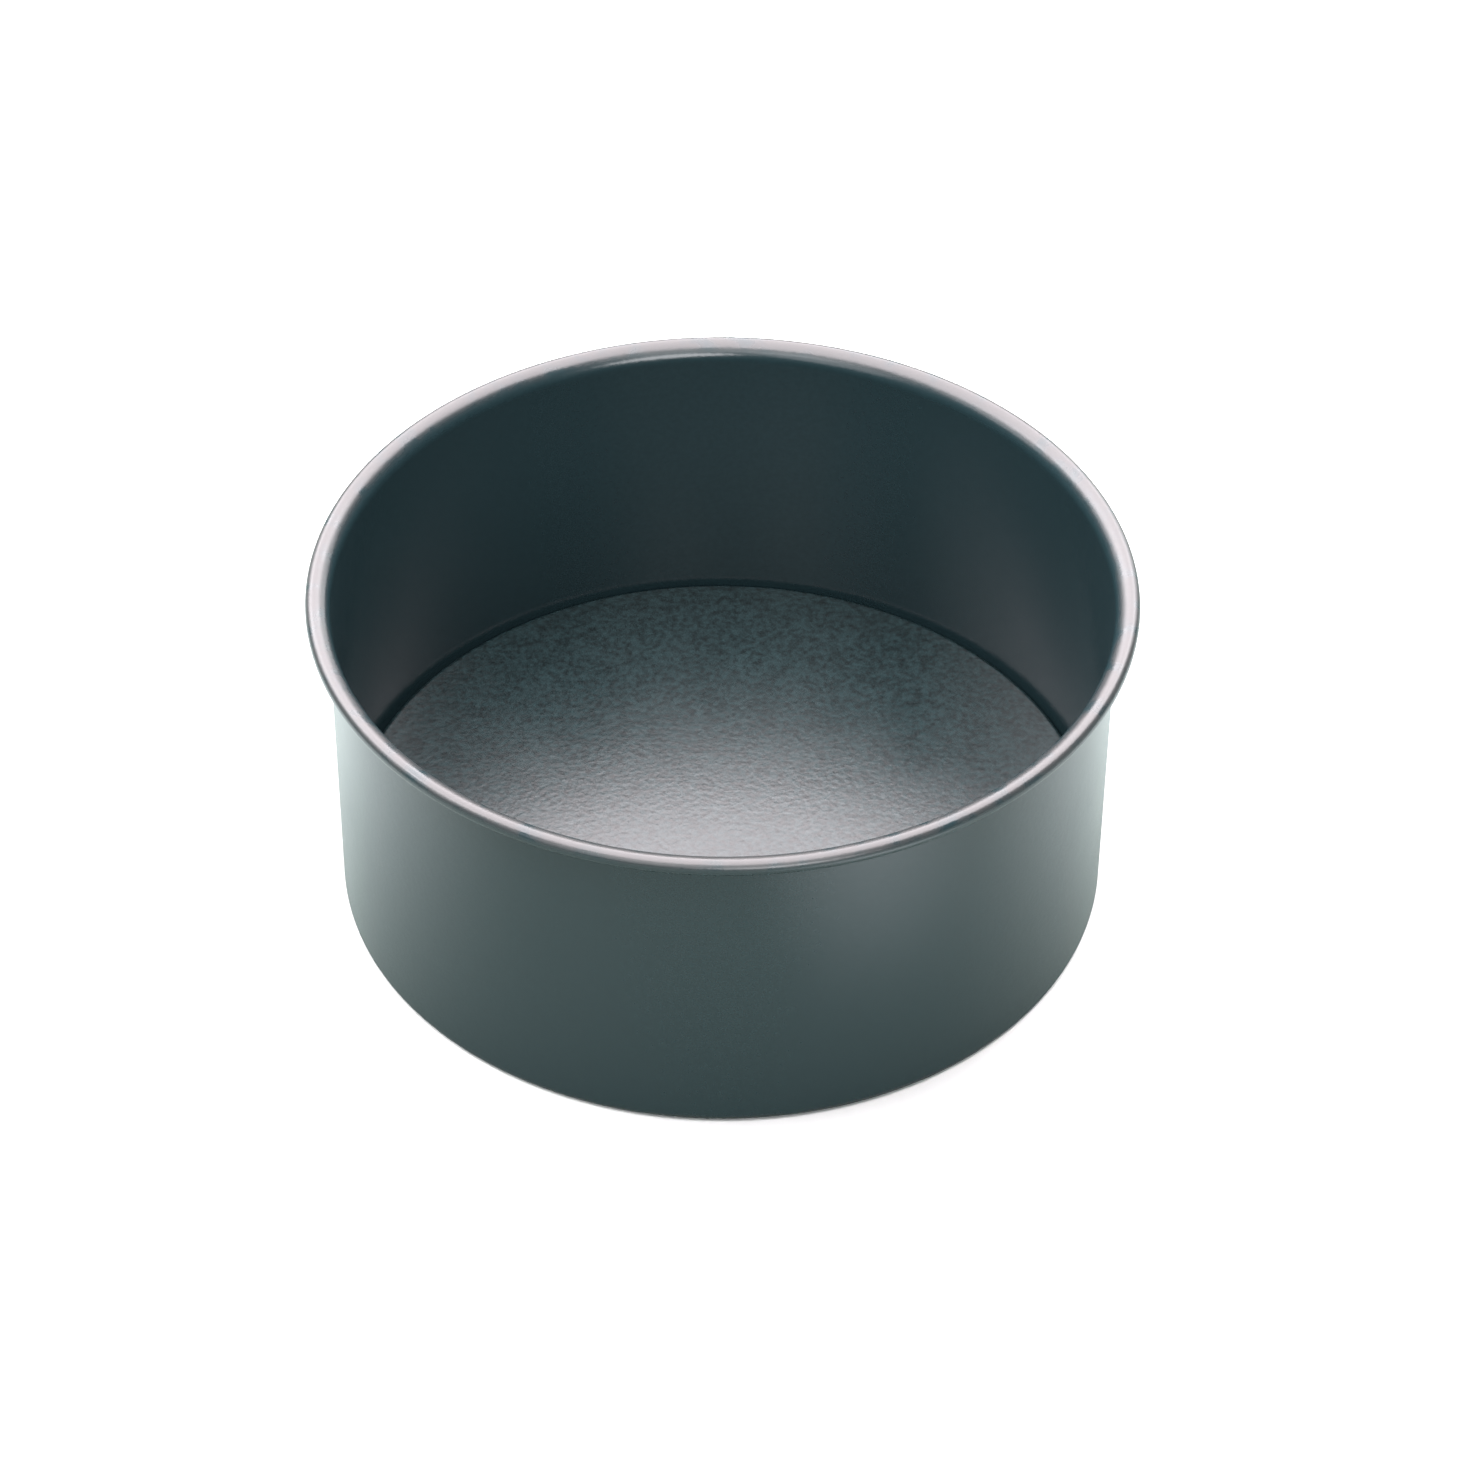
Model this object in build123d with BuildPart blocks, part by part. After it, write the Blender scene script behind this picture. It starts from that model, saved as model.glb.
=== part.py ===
"""Deep round cake tin with a loose, push-up base.

Two pressed sheet pieces on one vertical axis. The wall is drawn without a seam:
its foot turns inwards into a ledge, and its top rolls outwards into the rim.
The base is a shallow cap that stands on that ledge by its turned-down skirt.

Millimetres, +Z up, origin on the axis in the plane that the foot stands on.
"""

import os
from math import cos, radians, sin, tan

from build123d import *

os.makedirs("parts", exist_ok=True)

# Driving dimensions: the bore is measured at the top of the straight wall
tin_bore = 200.0
tin_height = 93.0
wall_sheet = 0.8
wall_lean = 0.35

# Rim: the sheet rolls over in a wide bend, then curls in tighter, so that the
# hollow roll is wider than it is tall
rim_roll_bend = 4.8
rim_roll_turn = 79.0
rim_bead = 4.2
rim_curl = 250.0

# Foot: a small outside corner, then the ledge that carries the base
foot_bend = 1.2
ledge_width = 9.0

# Loose base: how high its face lies, its sheet and its fit in the wall
base_height = 12.0
base_sheet = 0.8
base_bend = 0.5
base_edge_gap = 1.0
skirt_foot_gap = 0.4
skirt_trim = 2.0

quarter_turn = 90.0

# Where the straight wall ends and the rim starts. The crown lies on the tighter
# bend, so its rise and reach are counted from the centre of the wide one.
bore_radius = tin_bore / 2
bead_radius = rim_bead / 2
lean_sin = sin(radians(wall_lean))
lean_cos = cos(radians(wall_lean))
centre_step = rim_roll_bend - bead_radius
rim_rise = centre_step * sin(radians(rim_roll_turn)) + bead_radius - rim_roll_bend * lean_sin
rim_reach = rim_roll_bend * lean_cos - centre_step * cos(radians(rim_roll_turn)) + bead_radius
roll_z = tin_height - rim_rise

# Where the cone of the wall and the ledge's upper face would meet in a sharp corner
corner_radius = bore_radius - (roll_z - wall_sheet) * tan(radians(wall_lean))
ledge_radius = corner_radius - ledge_width

# The corner's arc takes this much off both of its runs
corner_cut = foot_bend * tan(radians(quarter_turn - wall_lean) / 2)
ledge_run = ledge_width - corner_cut
wall_run = (roll_z - wall_sheet) / lean_cos - corner_cut


def wall_face_line(depth):
    """One face of the wall's sheet, from the ledge's edge to the curl's end.

    Depth 0 is the face that looks at the cake, and depth wall_sheet is the other.
    Both faces turn about the same centres, so the sheet keeps its thickness.
    """
    ledge = Line((ledge_radius, wall_sheet - depth), (ledge_radius + ledge_run, wall_sheet - depth))
    corner = JernArc(ledge @ 1, ledge % 1, foot_bend + depth, quarter_turn - wall_lean)
    wall = PolarLine(corner @ 1, wall_run, direction=corner % 1)
    roll = JernArc(wall @ 1, wall % 1, rim_roll_bend - depth, wall_lean - rim_roll_turn)
    curl = JernArc(roll @ 1, roll % 1, bead_radius - depth, -rim_curl)
    return ledge @ 0, curl @ 1


# Seamless wall with its ledge and its rolled rim
with BuildPart() as tin_wall:
    with BuildSketch(Plane.XZ) as wall_section:
        with BuildLine() as wall_outline:
            inner_foot, inner_tip = wall_face_line(0)
            outer_foot, outer_tip = wall_face_line(wall_sheet)
            Line(inner_foot, outer_foot)
            Line(inner_tip, outer_tip)
        make_face()
    revolve(axis=Axis.Z)

tin_wall.part.label = "tin_wall"
export_step(tin_wall.part, "parts/tin_wall.step")

# Loose base: the disc's edge keeps its gap to the wall, and the skirt leans in
# just enough for its foot to land on the flat of the ledge, clear of the corner
disc_radius = corner_radius + (base_height - wall_sheet) * tan(radians(wall_lean)) - base_edge_gap
skirt_foot_radius = corner_radius - corner_cut - skirt_foot_gap
skirt_slope = (disc_radius - skirt_foot_radius) / (base_height - wall_sheet)
base_edge_bend = base_bend + base_sheet

with BuildPart() as loose_base:
    with BuildSketch(Plane.XZ) as base_section:
        with BuildLine() as base_outline:
            FilletPolyline(
                (0, base_height),
                (disc_radius, base_height),
                (skirt_foot_radius - skirt_trim * skirt_slope, wall_sheet - skirt_trim),
                radius=base_edge_bend,
            )
            offset(amount=base_sheet, side=Side.RIGHT)
        make_face()
    revolve(axis=Axis.Z)
    # The skirt is trimmed level, so that it stands flat on the ledge
    split(bisect_by=Plane.XY.offset(wall_sheet), keep=Keep.TOP)

loose_base.part.label = "loose_base"
export_step(loose_base.part, "parts/loose_base.step")

print("rim diameter", round(tin_bore + 2 * rim_reach, 2))
print("rim reach", round(rim_reach, 2), "and rise", round(rim_rise, 2))
print("disc diameter", round(2 * disc_radius, 2))
print("skirt foot diameter", round(2 * skirt_foot_radius, 2))
print("opening in the ledge", round(2 * ledge_radius, 2))
print("depth inside", round(tin_height - base_height, 2))
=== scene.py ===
# %% [markdown]
# # A deep round cake tin with a loose base
#
# The tin is two pieces of thin carbon steel sheet under a dark, satin non-stick
# coating. The wall is drawn without a seam: its foot turns in to make a ledge, and
# its top rolls outwards into the rim. The base is a shallow cap that stands on that
# ledge, so that the cake can be pushed up and out.
#
# Both are bodies of revolution made of sheet, so one idea builds them both: draw the
# section of the sheet as a line, then let Geometry Nodes spin it about the tin's axis.

# %% Start from the fixed frame
import bpy
from math import atan, ceil, cos, degrees, pi, radians, sin, tan
from mathutils import Matrix, Vector


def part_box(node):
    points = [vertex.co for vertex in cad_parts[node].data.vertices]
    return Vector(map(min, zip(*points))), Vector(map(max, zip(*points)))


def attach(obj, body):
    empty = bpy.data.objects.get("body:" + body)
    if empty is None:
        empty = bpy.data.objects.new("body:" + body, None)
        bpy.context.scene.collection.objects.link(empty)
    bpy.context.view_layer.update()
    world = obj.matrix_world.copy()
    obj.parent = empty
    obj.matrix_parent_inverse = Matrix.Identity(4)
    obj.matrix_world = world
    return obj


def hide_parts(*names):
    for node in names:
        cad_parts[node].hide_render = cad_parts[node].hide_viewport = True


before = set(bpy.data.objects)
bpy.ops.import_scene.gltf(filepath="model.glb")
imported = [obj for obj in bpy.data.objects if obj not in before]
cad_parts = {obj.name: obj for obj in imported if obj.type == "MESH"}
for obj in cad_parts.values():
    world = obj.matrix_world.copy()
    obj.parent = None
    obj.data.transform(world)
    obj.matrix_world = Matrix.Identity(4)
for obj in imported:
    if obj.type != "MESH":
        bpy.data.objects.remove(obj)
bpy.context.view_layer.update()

# %% [markdown]
# ## The sizes
#
# Heights and the outer radius come straight from the frame, so the dressed tin always
# fits it. The base stands on the ledge with nothing between them, so the lowest point
# of the base is also the thickness of the sheet. The bends are the ones a press leaves
# in sheet of this gauge: they are too small to measure off the frame and are named here.

# %% Measure the frame and name the bends
wall_low, wall_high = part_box("tin_wall")
base_low, base_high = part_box("loose_base")
tin_height = wall_high.z
rim_radius = wall_high.x
base_height = base_high.z
sheet = base_low.z

rim_roll_bend = 0.0048
rim_roll_turn = radians(79)
rim_bead = 0.0042
rim_curl = radians(250)
wall_lean = radians(0.35)
foot_bend = 0.0012
ledge_width = 0.009
base_bend = 0.0005
base_edge_gap = 0.001
skirt_foot_gap = 0.0004
cut_edge_round = 0.00018
quarter = pi / 2

bead_radius = rim_bead / 2
centre_step = rim_roll_bend - bead_radius
rim_rise = centre_step * sin(rim_roll_turn) + bead_radius - rim_roll_bend * sin(wall_lean)
rim_reach = rim_roll_bend * cos(wall_lean) - centre_step * cos(rim_roll_turn) + bead_radius
bore_radius = rim_radius - rim_reach
print("bore", round(2000 * bore_radius, 2), "mm, sheet", round(1000 * sheet, 2), "mm")

# %% [markdown]
# ## A pen that walks along the sheet
#
# A section of bent sheet is nothing but straight runs and bends. Each step here is
# (length, turn, pieces), and a run is a step that turns by nothing. The other face of
# the sheet then needs no drawing of its own: walked the other way, each bend turns back
# by the same angle, and is longer or shorter by the thickness times that angle.
#
# Smooth shading blends the facing of neighbouring faces, so beside a tight bend a long
# flat one would look swollen. A short guard piece at each end of a run stops that.

# %% Steps, the walk and the two faces of a sheet
bend_piece = radians(7.5)
guard_length = 0.0003


def run(length, pieces=1):
    """A straight stretch of the sheet, with its two guard pieces."""
    guard = (guard_length, 0.0, 1)
    return [guard, (length - 2 * guard_length, 0.0, pieces), guard]


def bend(radius, turn):
    """A round stretch. A positive turn is to the left, and radius is the drawn face's."""
    return [(radius * abs(turn), turn, max(2, ceil(abs(turn) / bend_piece)))]


def walk(start, heading, steps):
    """The points of a line that leaves a start along a heading and follows the steps."""
    place = Vector(start)
    points = [place.copy()]
    for length, turn, pieces in steps:
        part_turn = turn / pieces
        half = part_turn / 2
        chord = length / pieces * (sin(half) / half if half else 1.0)
        for _ in range(pieces):
            place += chord * Vector((cos(heading + half), sin(heading + half)))
            heading += part_turn
            points.append(place.copy())
    return points


def other_face(steps):
    """The same stretch on the sheet's right-hand face, walked back again."""
    return [(length + sheet * turn, -turn, pieces) for length, turn, pieces in reversed(steps)]


def steps_length(steps):
    """How far the pen walks."""
    return sum(length for length, turn, pieces in steps)


cut_edge = [
    *bend(cut_edge_round, -quarter),
    (sheet - 2 * cut_edge_round, 0.0, 1),
    *bend(cut_edge_round, -quarter),
]
edge_half = steps_length(cut_edge) / 2
print("cut edge:", round(2000 * edge_half, 2), "mm round, from face to face")

# %% [markdown]
# ## The wall's section
#
# The pen starts at the cut edge of the ledge, on its upper face, and goes out along it,
# up the wall and over the rim. The rim is a hollow roll that is wider than it is tall: a
# wide bend leaves the wall, and a tighter one curls the edge under by most of a turn.
# Long runs are cut into pieces, so that the spun faces don't grow into long thin strips.

# %% Walk the wall
ledge_pieces = 3
wall_pieces = 14

roll_z = tin_height - rim_rise
corner_radius = bore_radius - (roll_z - sheet) * tan(wall_lean)
corner_cut = foot_bend * tan((quarter - wall_lean) / 2)
ledge_radius = corner_radius - ledge_width

wall_face = [
    *run(ledge_width - corner_cut - cut_edge_round, ledge_pieces),
    *bend(foot_bend, quarter - wall_lean),
    *run((roll_z - sheet) / cos(wall_lean) - corner_cut, wall_pieces),
    *bend(rim_roll_bend, wall_lean - rim_roll_turn),
    *bend(bead_radius, -rim_curl),
]
wall_loop = wall_face + cut_edge + other_face(wall_face) + cut_edge
wall_start = (ledge_radius + cut_edge_round, sheet)
wall_section = walk(wall_start, 0.0, wall_loop)
miss = (wall_section[-1] - wall_section[0]).length
print("wall section:", len(wall_section), "points")
print("it closes within", round(1e6 * miss, 3), "micrometres")

# %% [markdown]
# ## The base's section
#
# The base starts on the axis. Its face runs flat to the edge, where a tight bend gives
# the crisp line that shows inside the tin, and the skirt leans in a little on its way
# down, so that its foot lands on the flat of the ledge and not in the corner.

# %% Walk the base
disc_pieces = 24
skirt_pieces = 3

skirt_drop = base_height - sheet
disc_radius = corner_radius + skirt_drop * tan(wall_lean) - base_edge_gap
skirt_foot_radius = corner_radius - corner_cut - skirt_foot_gap
skirt_lean = atan((disc_radius - skirt_foot_radius) / skirt_drop)
edge_bend = base_bend + sheet
edge_turn = quarter + skirt_lean
edge_cut = edge_bend * tan(edge_turn / 2)

base_face = [
    *run(disc_radius - edge_cut, disc_pieces),
    *bend(edge_bend, -edge_turn),
    *run(skirt_drop / cos(skirt_lean) - edge_cut - cut_edge_round, skirt_pieces),
]
base_line = base_face + cut_edge + other_face(base_face)
base_section = walk((0.0, base_height), 0.0, base_line)
base_section[-1].x = 0.0
print("disc", round(2000 * disc_radius, 2), "mm across")
print("skirt leans", round(degrees(skirt_lean), 2), "degrees")

# %% [markdown]
# ## Helpers for node trees
#
# A node tree is a set of nodes with links between their sockets, and writing one out by
# hand takes many lines. Three short helpers keep the trees of this lesson readable. The
# places given to nodes only lay the tree out neatly in the editor.

# %% Add a node, link sockets, find an input
def node(tree, kind, x, y, **settings):
    """Add a node to a tree at a place, with its settings."""
    made = tree.nodes.new(kind)
    made.location = (x, y)
    for key, value in settings.items():
        setattr(made, key, value)
    return made


def connect(tree, *wires):
    """Link sockets. Each wire is (from node, its output, to node, its input)."""
    for source, output, target, slot in wires:
        tree.links.new(source.outputs[output], target.inputs[slot])


def socket_id(tree, name):
    """The identifier by which a modifier knows one of the tree's inputs."""
    return next(item.identifier for item in tree.interface.items_tree if item.name == name)


print("helpers made:", node.__name__, connect.__name__, socket_id.__name__)

# %% [markdown]
# ## Spinning the section
#
# A screw modifier or a lathe in mesh code could turn the line, and so can Curve to Mesh,
# which drags a profile round a circle. Here the circle is the tin's bore, so the profile
# is drawn as it is measured in the workshop: in from the bore and out from the bore. The
# nodes also keep how far along the sheet each point lies. The coating uses that later to
# find the cut edges.

# %% The tree that spins sheet
weld_distance = 0.000005


def spinning_tree():
    """The nodes that turn a section about the tin's axis and coat what they made."""
    tree = bpy.data.node_groups.new("spun_sheet", "GeometryNodeTree")
    sockets = tree.interface
    sockets.new_socket("Section", in_out="INPUT", socket_type="NodeSocketGeometry")
    sockets.new_socket("Bore Radius", in_out="INPUT", socket_type="NodeSocketFloat")
    sockets.new_socket("Steps Around", in_out="INPUT", socket_type="NodeSocketInt")
    sockets.new_socket("Coating", in_out="INPUT", socket_type="NodeSocketMaterial")
    sockets.new_socket("Spun", in_out="OUTPUT", socket_type="NodeSocketGeometry")

    given = node(tree, "NodeGroupInput", -900, 0)
    loop = node(tree, "GeometryNodeMeshToCurve", -700, 120)
    along = node(tree, "GeometryNodeSplineParameter", -700, -40)
    keep_along = node(tree, "GeometryNodeStoreNamedAttribute", -500, 120)
    keep_along.data_type = "FLOAT"
    keep_along.domain = "POINT"
    keep_along.inputs["Name"].default_value = "along_sheet"
    circle = node(tree, "GeometryNodeCurvePrimitiveCircle", -700, -200, mode="RADIUS")
    sweep = node(tree, "GeometryNodeCurveToMesh", -280, 0)
    weld = node(tree, "GeometryNodeMergeByDistance", -100, 0)
    weld.inputs["Distance"].default_value = weld_distance
    smooth = node(tree, "GeometryNodeSetShadeSmooth", 80, 0, domain="FACE")
    real = node(tree, "GeometryNodeRealizeInstances", 260, 0)
    coat = node(tree, "GeometryNodeSetMaterial", 440, 0)
    result = node(tree, "NodeGroupOutput", 620, 0)

    connect(
        tree,
        (given, "Section", loop, "Mesh"),
        (loop, "Curve", keep_along, "Geometry"),
        (along, "Length", keep_along, "Value"),
        (given, "Steps Around", circle, "Resolution"),
        (given, "Bore Radius", circle, "Radius"),
        (circle, "Curve", sweep, "Curve"),
        (keep_along, "Geometry", sweep, "Profile Curve"),
        (sweep, "Mesh", weld, "Geometry"),
        (weld, "Geometry", smooth, "Geometry"),
        (smooth, "Geometry", real, "Geometry"),
        (real, "Geometry", coat, "Geometry"),
        (given, "Coating", coat, "Material"),
        (coat, "Geometry", result, "Spun"),
    )
    return tree


spun_sheet = spinning_tree()
print("spinning tree:", len(spun_sheet.nodes), "nodes")

# %% [markdown]
# ## The coating: what it is
#
# The tin is sprayed with a dark non-stick film a few hundredths of a millimetre thick.
# The film is a varnish and not bare metal, so it mirrors little when looked at squarely
# and a lot at a glancing angle. A Principled shader does that by itself once its index
# of refraction and roughness are right. The nodes only add what varies from place to
# place: the grain of the spray, cloudy patches, scuffs and the cut edges.
#
# The grain comes first. A sprayed film dries with orange peel, soft bumps a millimetre
# and a half apart, and holds fine flakes that each lie at a slightly different tilt.
# Where a highlight fades, both show as mottling, as they do on the photographed base.
# The bumps are far too low to model, so they only bend the normal.

# %% The grain of the film
peel_per_metre = 650
peel_detail = 1.0
flake_per_metre = 2600
flake_tilt = 0.02
middle_grey = (0.5, 0.5, 0.5)


def film_grain(tree, place, peel_height):
    """A bumped normal: soft orange peel over tiny tilted flakes.

    Each flake has its own random colour. Less the middle grey, it is a random direction,
    and a little of that is added to the way the surface faces.
    """
    flakes = node(tree, "ShaderNodeTexVoronoi", -1100, -700)
    flakes.inputs["Scale"].default_value = flake_per_metre
    centred = node(tree, "ShaderNodeVectorMath", -920, -700, operation="SUBTRACT")
    centred.inputs[1].default_value = middle_grey
    slight = node(tree, "ShaderNodeVectorMath", -740, -700, operation="SCALE")
    slight.inputs["Scale"].default_value = flake_tilt
    facing = node(tree, "ShaderNodeNewGeometry", -740, -880)
    tilted = node(tree, "ShaderNodeVectorMath", -560, -760, operation="ADD")
    unit = node(tree, "ShaderNodeVectorMath", -380, -760, operation="NORMALIZE")
    peel = node(tree, "ShaderNodeTexNoise", -560, -500)
    peel.inputs["Scale"].default_value = peel_per_metre
    peel.inputs["Detail"].default_value = peel_detail
    bump = node(tree, "ShaderNodeBump", -200, -560)
    bump.inputs["Distance"].default_value = peel_height
    connect(
        tree,
        (place, "Object", flakes, "Vector"),
        (place, "Object", peel, "Vector"),
        (flakes, "Color", centred, 0),
        (centred, "Vector", slight, 0),
        (slight, "Vector", tilted, 0),
        (facing, "Normal", tilted, 1),
        (tilted, "Vector", unit, 0),
        (peel, "Fac", bump, "Height"),
        (unit, "Vector", bump, "Normal"),
    )
    return bump.outputs["Normal"]


print("orange peel every", round(1000 / peel_per_metre, 2), "mm")
print("flakes every", round(1000 / flake_per_metre, 2), "mm")

# %% [markdown]
# ## Tools for masks
#
# A mask is a value from 0 to 1 that says where something shows. It could be painted, but
# a few nodes that read the object's own coordinates need no picture and stay sharp close
# up. Two kinds are enough for this tin: soft patches of noise, and narrow bands.

# %% Fades, sums, patches and bands
patch_detail = 3.0
node_row = 200


def fade(tree, value, start, end, x, y):
    """0 where the value is at start, 1 where it is at end, and smooth between."""
    ramp = node(tree, "ShaderNodeMapRange", x, y, interpolation_type="SMOOTHSTEP")
    ramp.inputs["From Min"].default_value = start
    ramp.inputs["From Max"].default_value = end
    tree.links.new(value, ramp.inputs["Value"])
    return ramp.outputs["Result"]


def combine(tree, operation, values, x, y):
    """Numbers or sockets, joined by one Math node."""
    maths = node(tree, "ShaderNodeMath", x, y, operation=operation)
    for slot, value in enumerate(values):
        if isinstance(value, (int, float)):
            maths.inputs[slot].default_value = value
        else:
            tree.links.new(value, maths.inputs[slot])
    return maths.outputs["Value"]


def patches(tree, place, per_metre, fade_range, x, y):
    """Soft patches of noise: 0 below the range, 1 above it."""
    noise = node(tree, "ShaderNodeTexNoise", x, y)
    noise.inputs["Scale"].default_value = per_metre
    noise.inputs["Detail"].default_value = patch_detail
    tree.links.new(place.outputs["Object"], noise.inputs["Vector"])
    return fade(tree, noise.outputs["Fac"], *fade_range, x + 200, y)


def near_any(tree, value, centres, full, none, y):
    """1 where the value is within full of a centre, and 0 from none away onwards."""
    mask = 0.0
    for row, centre in enumerate(centres):
        lower = y - node_row * row
        distance = combine(tree, "SUBTRACT", (value, centre), -740, lower)
        distance = combine(tree, "ABSOLUTE", (distance,), -560, lower)
        near = fade(tree, distance, none, full, -380, lower)
        mask = combine(tree, "MAXIMUM", (near, mask), -200, lower)
    return mask


print("helpers made:", fade.__name__, combine.__name__, patches.__name__, near_any.__name__)

# %% [markdown]
# ## What changes from place to place
#
# Four masks say where the film isn't quite even. Clouds are patches a few centimetres
# wide, a little duller or glossier, as a pass of the spray gun leaves them. Speckle is a
# fine mottling of the colour, stronger on the base. Scuffs lie where things touch, on the
# rim and round the foot, and leave the film duller. A cut edge was trimmed after the
# sheet was coated, so it shows bare steel.
#
# The cut edges can't be found by height or radius, but the spinning tree kept how far
# along the sheet each point lies.

# %% Clouds, speckle, scuffs and cut edges
cloud_per_metre = 28
cloud_fade = (0.35, 0.65)
speckle_per_metre = 700
speckle_fade = (0.2, 0.8)
smear_per_metre = 140
smear_fade = (0.25, 0.55)
scuff_depth = 0.003
bare_core_share = 0.7


def scuff_marks(tree, place, heights):
    """Scuffed near the given heights, more in some patches than in others."""
    apart = node(tree, "ShaderNodeSeparateXYZ", -940, -100)
    tree.links.new(place.outputs["Object"], apart.inputs["Vector"])
    touched = near_any(tree, apart.outputs["Z"], heights, 0.0, scuff_depth, -100)
    patchy = patches(tree, place, smear_per_metre, smear_fade, -940, 120)
    return combine(tree, "MULTIPLY", (touched, patchy), -20, 60)


def cut_edges(tree, centres):
    """1 on the cut edges, whose centres are given as lengths along the sheet."""
    along = node(tree, "ShaderNodeAttribute", -940, 900, attribute_name="along_sheet")
    core = bare_core_share * edge_half
    return near_any(tree, along.outputs["Fac"], centres, core, edge_half, 900)


print("clouds every", round(1000 / cloud_per_metre), "mm")
print("speckle every", round(1000 / speckle_per_metre, 1), "mm")

# %% [markdown]
# ## Putting the film together
#
# The film is a very dark grey with a touch of blue-green, and most of what makes it look
# lighter is gloss. So the colour stays low, and the roughness decides how far a highlight
# spreads. The masks move both a little. On the cut edges the shader turns into metal.
#
# The index of refraction is a plain varnish's and is set on the shader itself. The base
# is rougher and more speckled than the wall, as it is in the photograph.

# %% The film's material
wall_film = {
    "colour": (0.0091, 0.0200, 0.0228),
    "roughness": 0.22,
    "speckle": 0.06,
    "peel": 0.00003,
}
base_film = {
    "colour": (0.0065, 0.0140, 0.0150),
    "roughness": 0.30,
    "speckle": 0.60,
    "peel": 0.00006,
}
film_ior = 1.5
scuffed_colour = (0.024, 0.026, 0.026)
steel_colour = (0.42, 0.40, 0.37)
steel_roughness = 0.45
cloud_roughness = 0.02
scuff_roughness = 0.12


def mix_colours(tree, factor, first, second, x, y):
    """The first colour where the factor is 0, and the second where it is 1."""
    blend = node(tree, "ShaderNodeMix", x, y, data_type="RGBA")
    factor_in, first_in, second_in = blend.inputs[0], blend.inputs[6], blend.inputs[7]
    tree.links.new(factor, factor_in)
    if isinstance(first, tuple):
        first_in.default_value = (*first, 1)
    else:
        tree.links.new(first, first_in)
    second_in.default_value = (*second, 1)
    return blend.outputs[2]


def coating_material(name, film, scuffed_heights, edge_centres):
    """The film, for a piece that is scuffed at these heights and cut at these lengths."""
    coating = bpy.data.materials.new(name)
    coating.use_nodes = True
    tree = coating.node_tree
    shader = tree.nodes["Principled BSDF"]
    shader.location = (700, 0)
    tree.nodes["Material Output"].location = (1000, 0)
    shader.inputs["IOR"].default_value = film_ior

    place = node(tree, "ShaderNodeTexCoord", -1300, 0)
    cloudy = patches(tree, place, cloud_per_metre, cloud_fade, -940, 340)
    scuffed = scuff_marks(tree, place, scuffed_heights)
    bare = cut_edges(tree, edge_centres)

    speckled = patches(tree, place, speckle_per_metre, speckle_fade, -940, 560)
    darker = tuple(channel * (1 - film["speckle"]) for channel in film["colour"])
    lighter = tuple(channel * (1 + film["speckle"]) for channel in film["colour"])
    colour = mix_colours(tree, speckled, darker, lighter, 120, 300)
    colour = mix_colours(tree, scuffed, colour, scuffed_colour, 300, 300)
    colour = mix_colours(tree, bare, colour, steel_colour, 500, 300)
    glossiest = film["roughness"] - cloud_roughness
    dull = combine(tree, "MULTIPLY_ADD", (cloudy, 2 * cloud_roughness, glossiest), 160, 0)
    dull = combine(tree, "MULTIPLY_ADD", (scuffed, scuff_roughness, dull), 320, 0)
    duller_steel = steel_roughness - film["roughness"]
    dull = combine(tree, "MULTIPLY_ADD", (bare, duller_steel, dull), 480, 0)

    tree.links.new(colour, shader.inputs["Base Color"])
    tree.links.new(bare, shader.inputs["Metallic"])
    tree.links.new(dull, shader.inputs["Roughness"])
    grain = film_grain(tree, place, film["peel"])
    tree.links.new(grain, shader.inputs["Normal"])
    print(name, len(tree.nodes), "nodes")
    return coating


faced_share = ((film_ior - 1) / (film_ior + 1)) ** 2
print("looked at squarely, the film mirrors", round(100 * faced_share, 1), "percent")

# %% [markdown]
# ## Coating the wall and the base
#
# The wall is scuffed where hands and shelves touch it, at the rim and at the foot, and the
# base at the foot of its skirt. The sheet of the wall is cut at the end of the rim's curl
# and round the hole in the ledge. The base's sheet is cut only at the foot of its skirt.

# %% The two coatings
curl_edge = steps_length(wall_face) + edge_half
ledge_edge = steps_length(wall_face + cut_edge + other_face(wall_face)) + edge_half
skirt_edge = steps_length(base_face) + edge_half
wall_edges = (curl_edge, ledge_edge)
wall_coating = coating_material("wall_coating", wall_film, (tin_height, 0.0), wall_edges)
base_coating = coating_material("base_coating", base_film, (sheet,), (skirt_edge,))

# %% [markdown]
# ## Making the two pieces
#
# A section becomes a chain of edges, and the spinning tree on a helper object turns it
# into a piece. The wall's section is a closed loop. The base's is open at both ends,
# because both lie on the axis, where the spun points are welded into one.
#
# The circle carries the section's x outwards and its y down, so both are written that way
# here. The evaluated mesh is then kept as a plain one, and the helper is removed.

# %% A function that spins and bakes a piece
steps_around = 288


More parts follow.
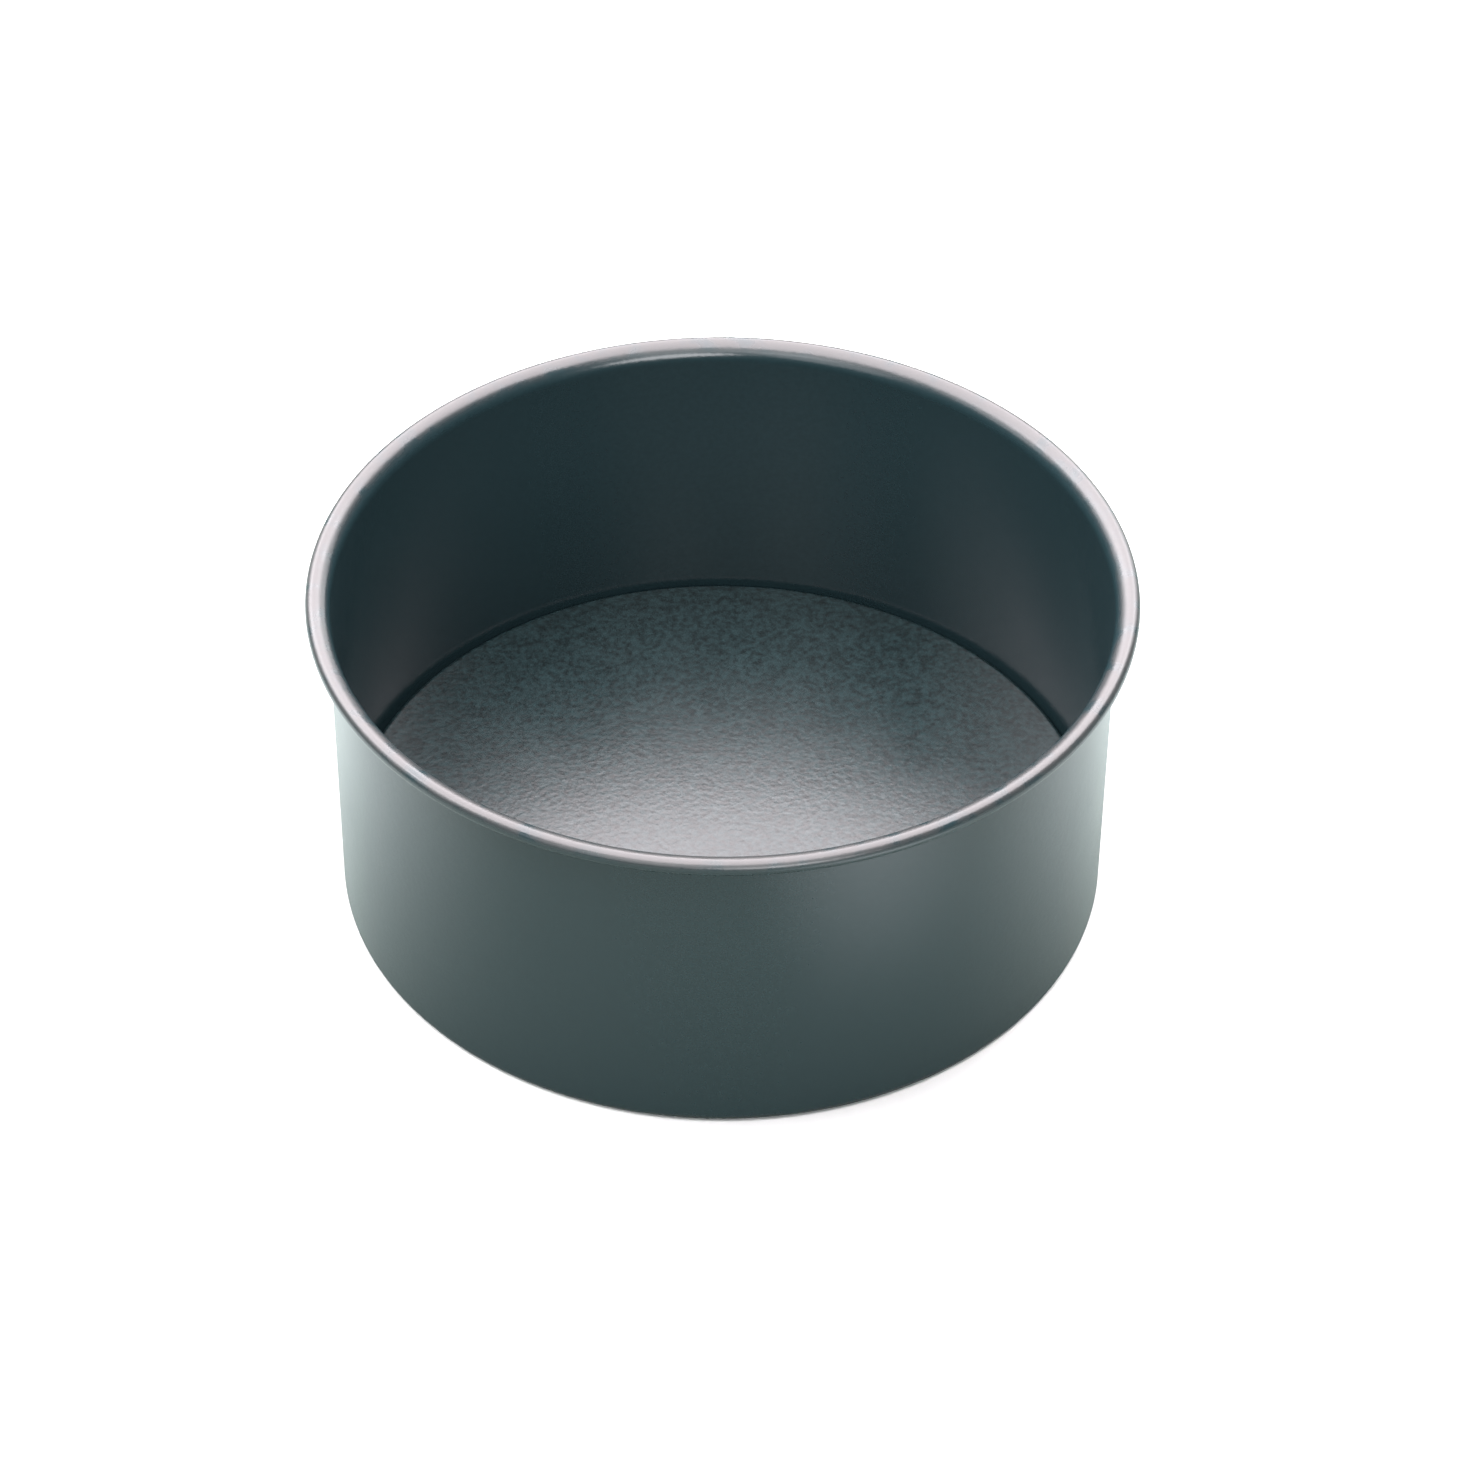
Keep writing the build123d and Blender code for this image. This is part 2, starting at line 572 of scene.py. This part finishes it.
def spin(name, section, closed, coating):
    """A named piece of spun sheet: a plain mesh in place, with outward faces."""
    outline = bpy.data.meshes.new(name + "_section")
    points = section[:-1] if closed else section
    edges = [(i, i + 1) for i in range(len(points) - 1)]
    if closed:
        edges.append((len(points) - 1, 0))
    outline.from_pydata([(p.x - bore_radius, -p.y, 0.0) for p in points], edges, [])
    maker = bpy.data.objects.new(name + "_maker", outline)
    bpy.context.scene.collection.objects.link(maker)

    nodes = maker.modifiers.new("spin", "NODES")
    nodes.node_group = spun_sheet
    settings = {"Bore Radius": bore_radius, "Steps Around": steps_around, "Coating": coating}
    for label, value in settings.items():
        nodes[socket_id(spun_sheet, label)] = value

    graph = bpy.context.evaluated_depsgraph_get()
    mesh = bpy.data.meshes.new_from_object(maker.evaluated_get(graph))
    mesh.name = name
    bpy.data.objects.remove(maker)
    bpy.data.meshes.remove(outline)
    piece = bpy.data.objects.new(name, mesh)
    bpy.context.scene.collection.objects.link(piece)
    low = [min(v.co[i] for v in mesh.vertices) for i in range(3)]
    high = [max(v.co[i] for v in mesh.vertices) for i in range(3)]
    print(name, len(mesh.polygons), "faces, mm:", [round(1000 * x, 2) for x in low + high])
    return piece


print("one step around is", round(360 / steps_around, 2), "degrees")

# %% [markdown]
# ## Dressing the frame
#
# Each finished piece rides on a body of the frame, so that the base moves up when the
# joint does, and it stands in for the CAD solid of the same shape.

# %% Wall and base
wall = spin("wall_of_the_tin", wall_section, True, wall_coating)
base = spin("push_up_base", base_section, False, base_coating)
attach(wall, "tin")
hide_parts("tin_wall")
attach(base, "base")
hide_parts("loose_base")

# %% [markdown]
# ## The camera
#
# The photograph was taken from a metre in front of the tin and almost as far above it,
# through a long lens. The numbers come from the ellipses of the rim and the foot: how
# long the lens is in pixels, where the camera stands, how far it looks down (pitch), to
# the right (yaw) and out of level (roll), and through which pixel its axis runs.

# %% Camera
photo_side = 1460
focal_pixels = 5155.5
camera_back = 1.01485
camera_up = 0.9275
camera_pitch = 0.7164
camera_yaw = 0.0019
camera_roll = 0.0070
axis_pixel = (729.42, 729.46)
sensor = 36.0

level_ahead = Vector((sin(camera_yaw), cos(camera_yaw), 0.0))
level_right = Vector((cos(camera_yaw), -sin(camera_yaw), 0.0))
ahead = level_ahead * cos(camera_pitch) - Vector((0.0, 0.0, sin(camera_pitch)))
level_up = level_right.cross(ahead)
right = level_right * cos(camera_roll) + level_up * sin(camera_roll)
up = right.cross(ahead)

camera_data = bpy.data.cameras.new("camera")
camera_data.sensor_width = sensor
camera_data.lens = focal_pixels / photo_side * sensor
camera_data.shift_x = (photo_side / 2 - axis_pixel[0]) / photo_side
camera_data.shift_y = (axis_pixel[1] - photo_side / 2) / photo_side
camera = bpy.data.objects.new("camera", camera_data)
turned = Matrix((right, up, -ahead)).transposed().to_4x4()
camera.matrix_world = Matrix.Translation((0.0, -camera_back, camera_up)) @ turned
bpy.context.scene.collection.objects.link(camera)
bpy.context.scene.camera = camera
print("lens", round(camera_data.lens, 1), "mm")

# %% [markdown]
# ## Soft studio light
#
# The tin shows how it was lit. Its base fades from pale at the front to dark at the back,
# so one very large softbox hangs over it and behind it, and glares off the base at a
# glancing angle. Smaller ones near the floor give the outer wall its sheen and put the
# glints on the rim. All are round or oval and face the tin, so that no glint has a
# corner. The overhead one is a touch warmer than the others, as its glare on the base is
# in the photograph.
#
# Each lamp is set by its radiance, which is how bright its face looks, and not by its
# power. That way a lamp can be made larger or smaller without growing brighter. A faint
# blue-green world stands for the room.

# %% Softboxes
softbox_distance = 3.0
lamp_tint = (1.0, 0.985, 1.01)
overhead_tint = (1.08, 0.985, 1.02)
room_colour = (0.8, 0.95, 1.0)
room_strength = 0.03


def softbox(name, azimuth, elevation, width, height, radiance, tint=lamp_tint):
    """A round or oval lamp that faces the tin. Azimuth runs clockwise from the far side."""
    flat = radians(azimuth)
    rise = radians(elevation)
    away = Vector((sin(flat) * cos(rise), cos(flat) * cos(rise), sin(rise)))
    data = bpy.data.lights.new(name, "AREA")
    data.shape = "ELLIPSE"
    data.size = width
    data.size_y = height
    data.energy = radiance * pi * (pi / 4 * width * height)
    data.color = tint
    lamp = bpy.data.objects.new(name, data)
    lamp.location = away * softbox_distance
    lamp.rotation_euler = (-away).to_track_quat("-Z", "Y").to_euler()
    lamp.visible_camera = False
    bpy.context.scene.collection.objects.link(lamp)


# Azimuth and elevation in degrees, width and height in metres, then the radiance
softbox("overhead", 350, 68, 6.4, 6.4, 10.8, overhead_tint)
softbox("low_right", 32, 22, 1.6, 2.2, 4.6)
softbox("low_left", 318, 30, 2.4, 2.0, 3.4)
softbox("low_front", 165, 20, 1.8, 1.2, 11.0)
softbox("rim_glint", 210, 30, 2.0, 2.0, 2.8)
softbox("left", 272, 38, 2.2, 2.0, 3.6)
softbox("front_top", 180, 52, 3.0, 2.0, 3.2)

world = bpy.data.worlds.new("studio")
bpy.context.scene.world = world
world.use_nodes = True
background = world.node_tree.nodes["Background"]
background.inputs["Color"].default_value = (*room_colour, 1)
background.inputs["Strength"].default_value = room_strength
bpy.context.scene.view_settings.view_transform = "Standard"
print("softboxes:", len(bpy.data.lights))

# %% [markdown]
# ## The pale floor and the table
#
# Shop photographs are cut out and laid on white, so the white round the tin isn't what it
# stood on. The outer wall mirrors something much darker, which is paler at both sides and
# palest at the front right, where the wall has a soft glow under the rim.
#
# So two flat sheets share the floor's height. The camera sees only the pale floor. The
# film mirrors only the dim table with its painted pools of light, and takes its bounced
# light from it. Neither casts a shadow, because sheets in one plane would shade each other.

# %% Floor and table
floor_half = 6.0
floor_colour = (0.90, 0.95, 0.93)
table_colour = (0.143, 0.179, 0.163)


def flat_stage(name, colour):
    """A big matt sheet on the floor, which isn't part of the tin."""
    mesh = bpy.data.meshes.new(name)
    signs = ((-1, -1), (1, -1), (1, 1), (-1, 1))
    corners = [(x * floor_half, y * floor_half, 0.0) for x, y in signs]
    mesh.from_pydata(corners, [], [(0, 1, 2, 3)])
    matt = bpy.data.materials.new(name)
    matt.use_nodes = True
    shader = matt.node_tree.nodes["Principled BSDF"]
    shader.inputs["Base Color"].default_value = (*colour, 1)
    shader.inputs["Roughness"].default_value = 1.0
    shader.inputs["Specular IOR Level"].default_value = 0.0
    mesh.materials.append(matt)
    flat_sheet = bpy.data.objects.new(name, mesh)
    flat_sheet.visible_shadow = False
    bpy.context.scene.collection.objects.link(flat_sheet)
    return flat_sheet


floor = flat_stage("floor", floor_colour)
floor.visible_glossy = False
floor.visible_diffuse = False
table = flat_stage("table", table_colour)
table.visible_camera = False
print("floor and table:", 2 * floor_half, "m across")

# %% [markdown]
# ## Pale spots on the table
#
# The pools of light that the wall mirrors have no outline, so cards lying on the table would
# be too sharp. Each pool is painted into the table's colour, paler at its centre and fading
# out.

# %% Painted pools of light
# Painted pools of light: centre, radius, and the paler colour painted at the centre
painted_light_pools = (
    ((-0.27, 0.03, 0.0), 0.24, (0.43, 0.50, 0.49)),
    ((0.27, 0.03, 0.0), 0.24, (0.41, 0.48, 0.47)),
    ((0.136, -0.21, 0.0), 0.13, (0.58, 0.68, 0.68)),
)


def paint_light_pools(flat_sheet, colour):
    """Paint pools of light onto a sheet of this colour: paler towards the centre of each pool.
    """
    tree = flat_sheet.active_material.node_tree
    place = node(tree, "ShaderNodeTexCoord", -1000, 0)
    for row, (centre, radius, pale) in enumerate(painted_light_pools):
        lower = -node_row * row
        away = node(tree, "ShaderNodeVectorMath", -800, lower, operation="DISTANCE")
        away.inputs[1].default_value = centre
        tree.links.new(place.outputs["Object"], away.inputs[0])
        near = fade(tree, away.outputs["Value"], radius, 0.0, -600, lower)
        # The paler colour is painted light, faded into the table's own colour
        colour = mix_colours(tree, near, colour, pale, -400, lower)
    tree.links.new(colour, tree.nodes["Principled BSDF"].inputs["Base Color"])


paint_light_pools(table, table_colour)
print("pale spots on the table:", len(painted_light_pools))
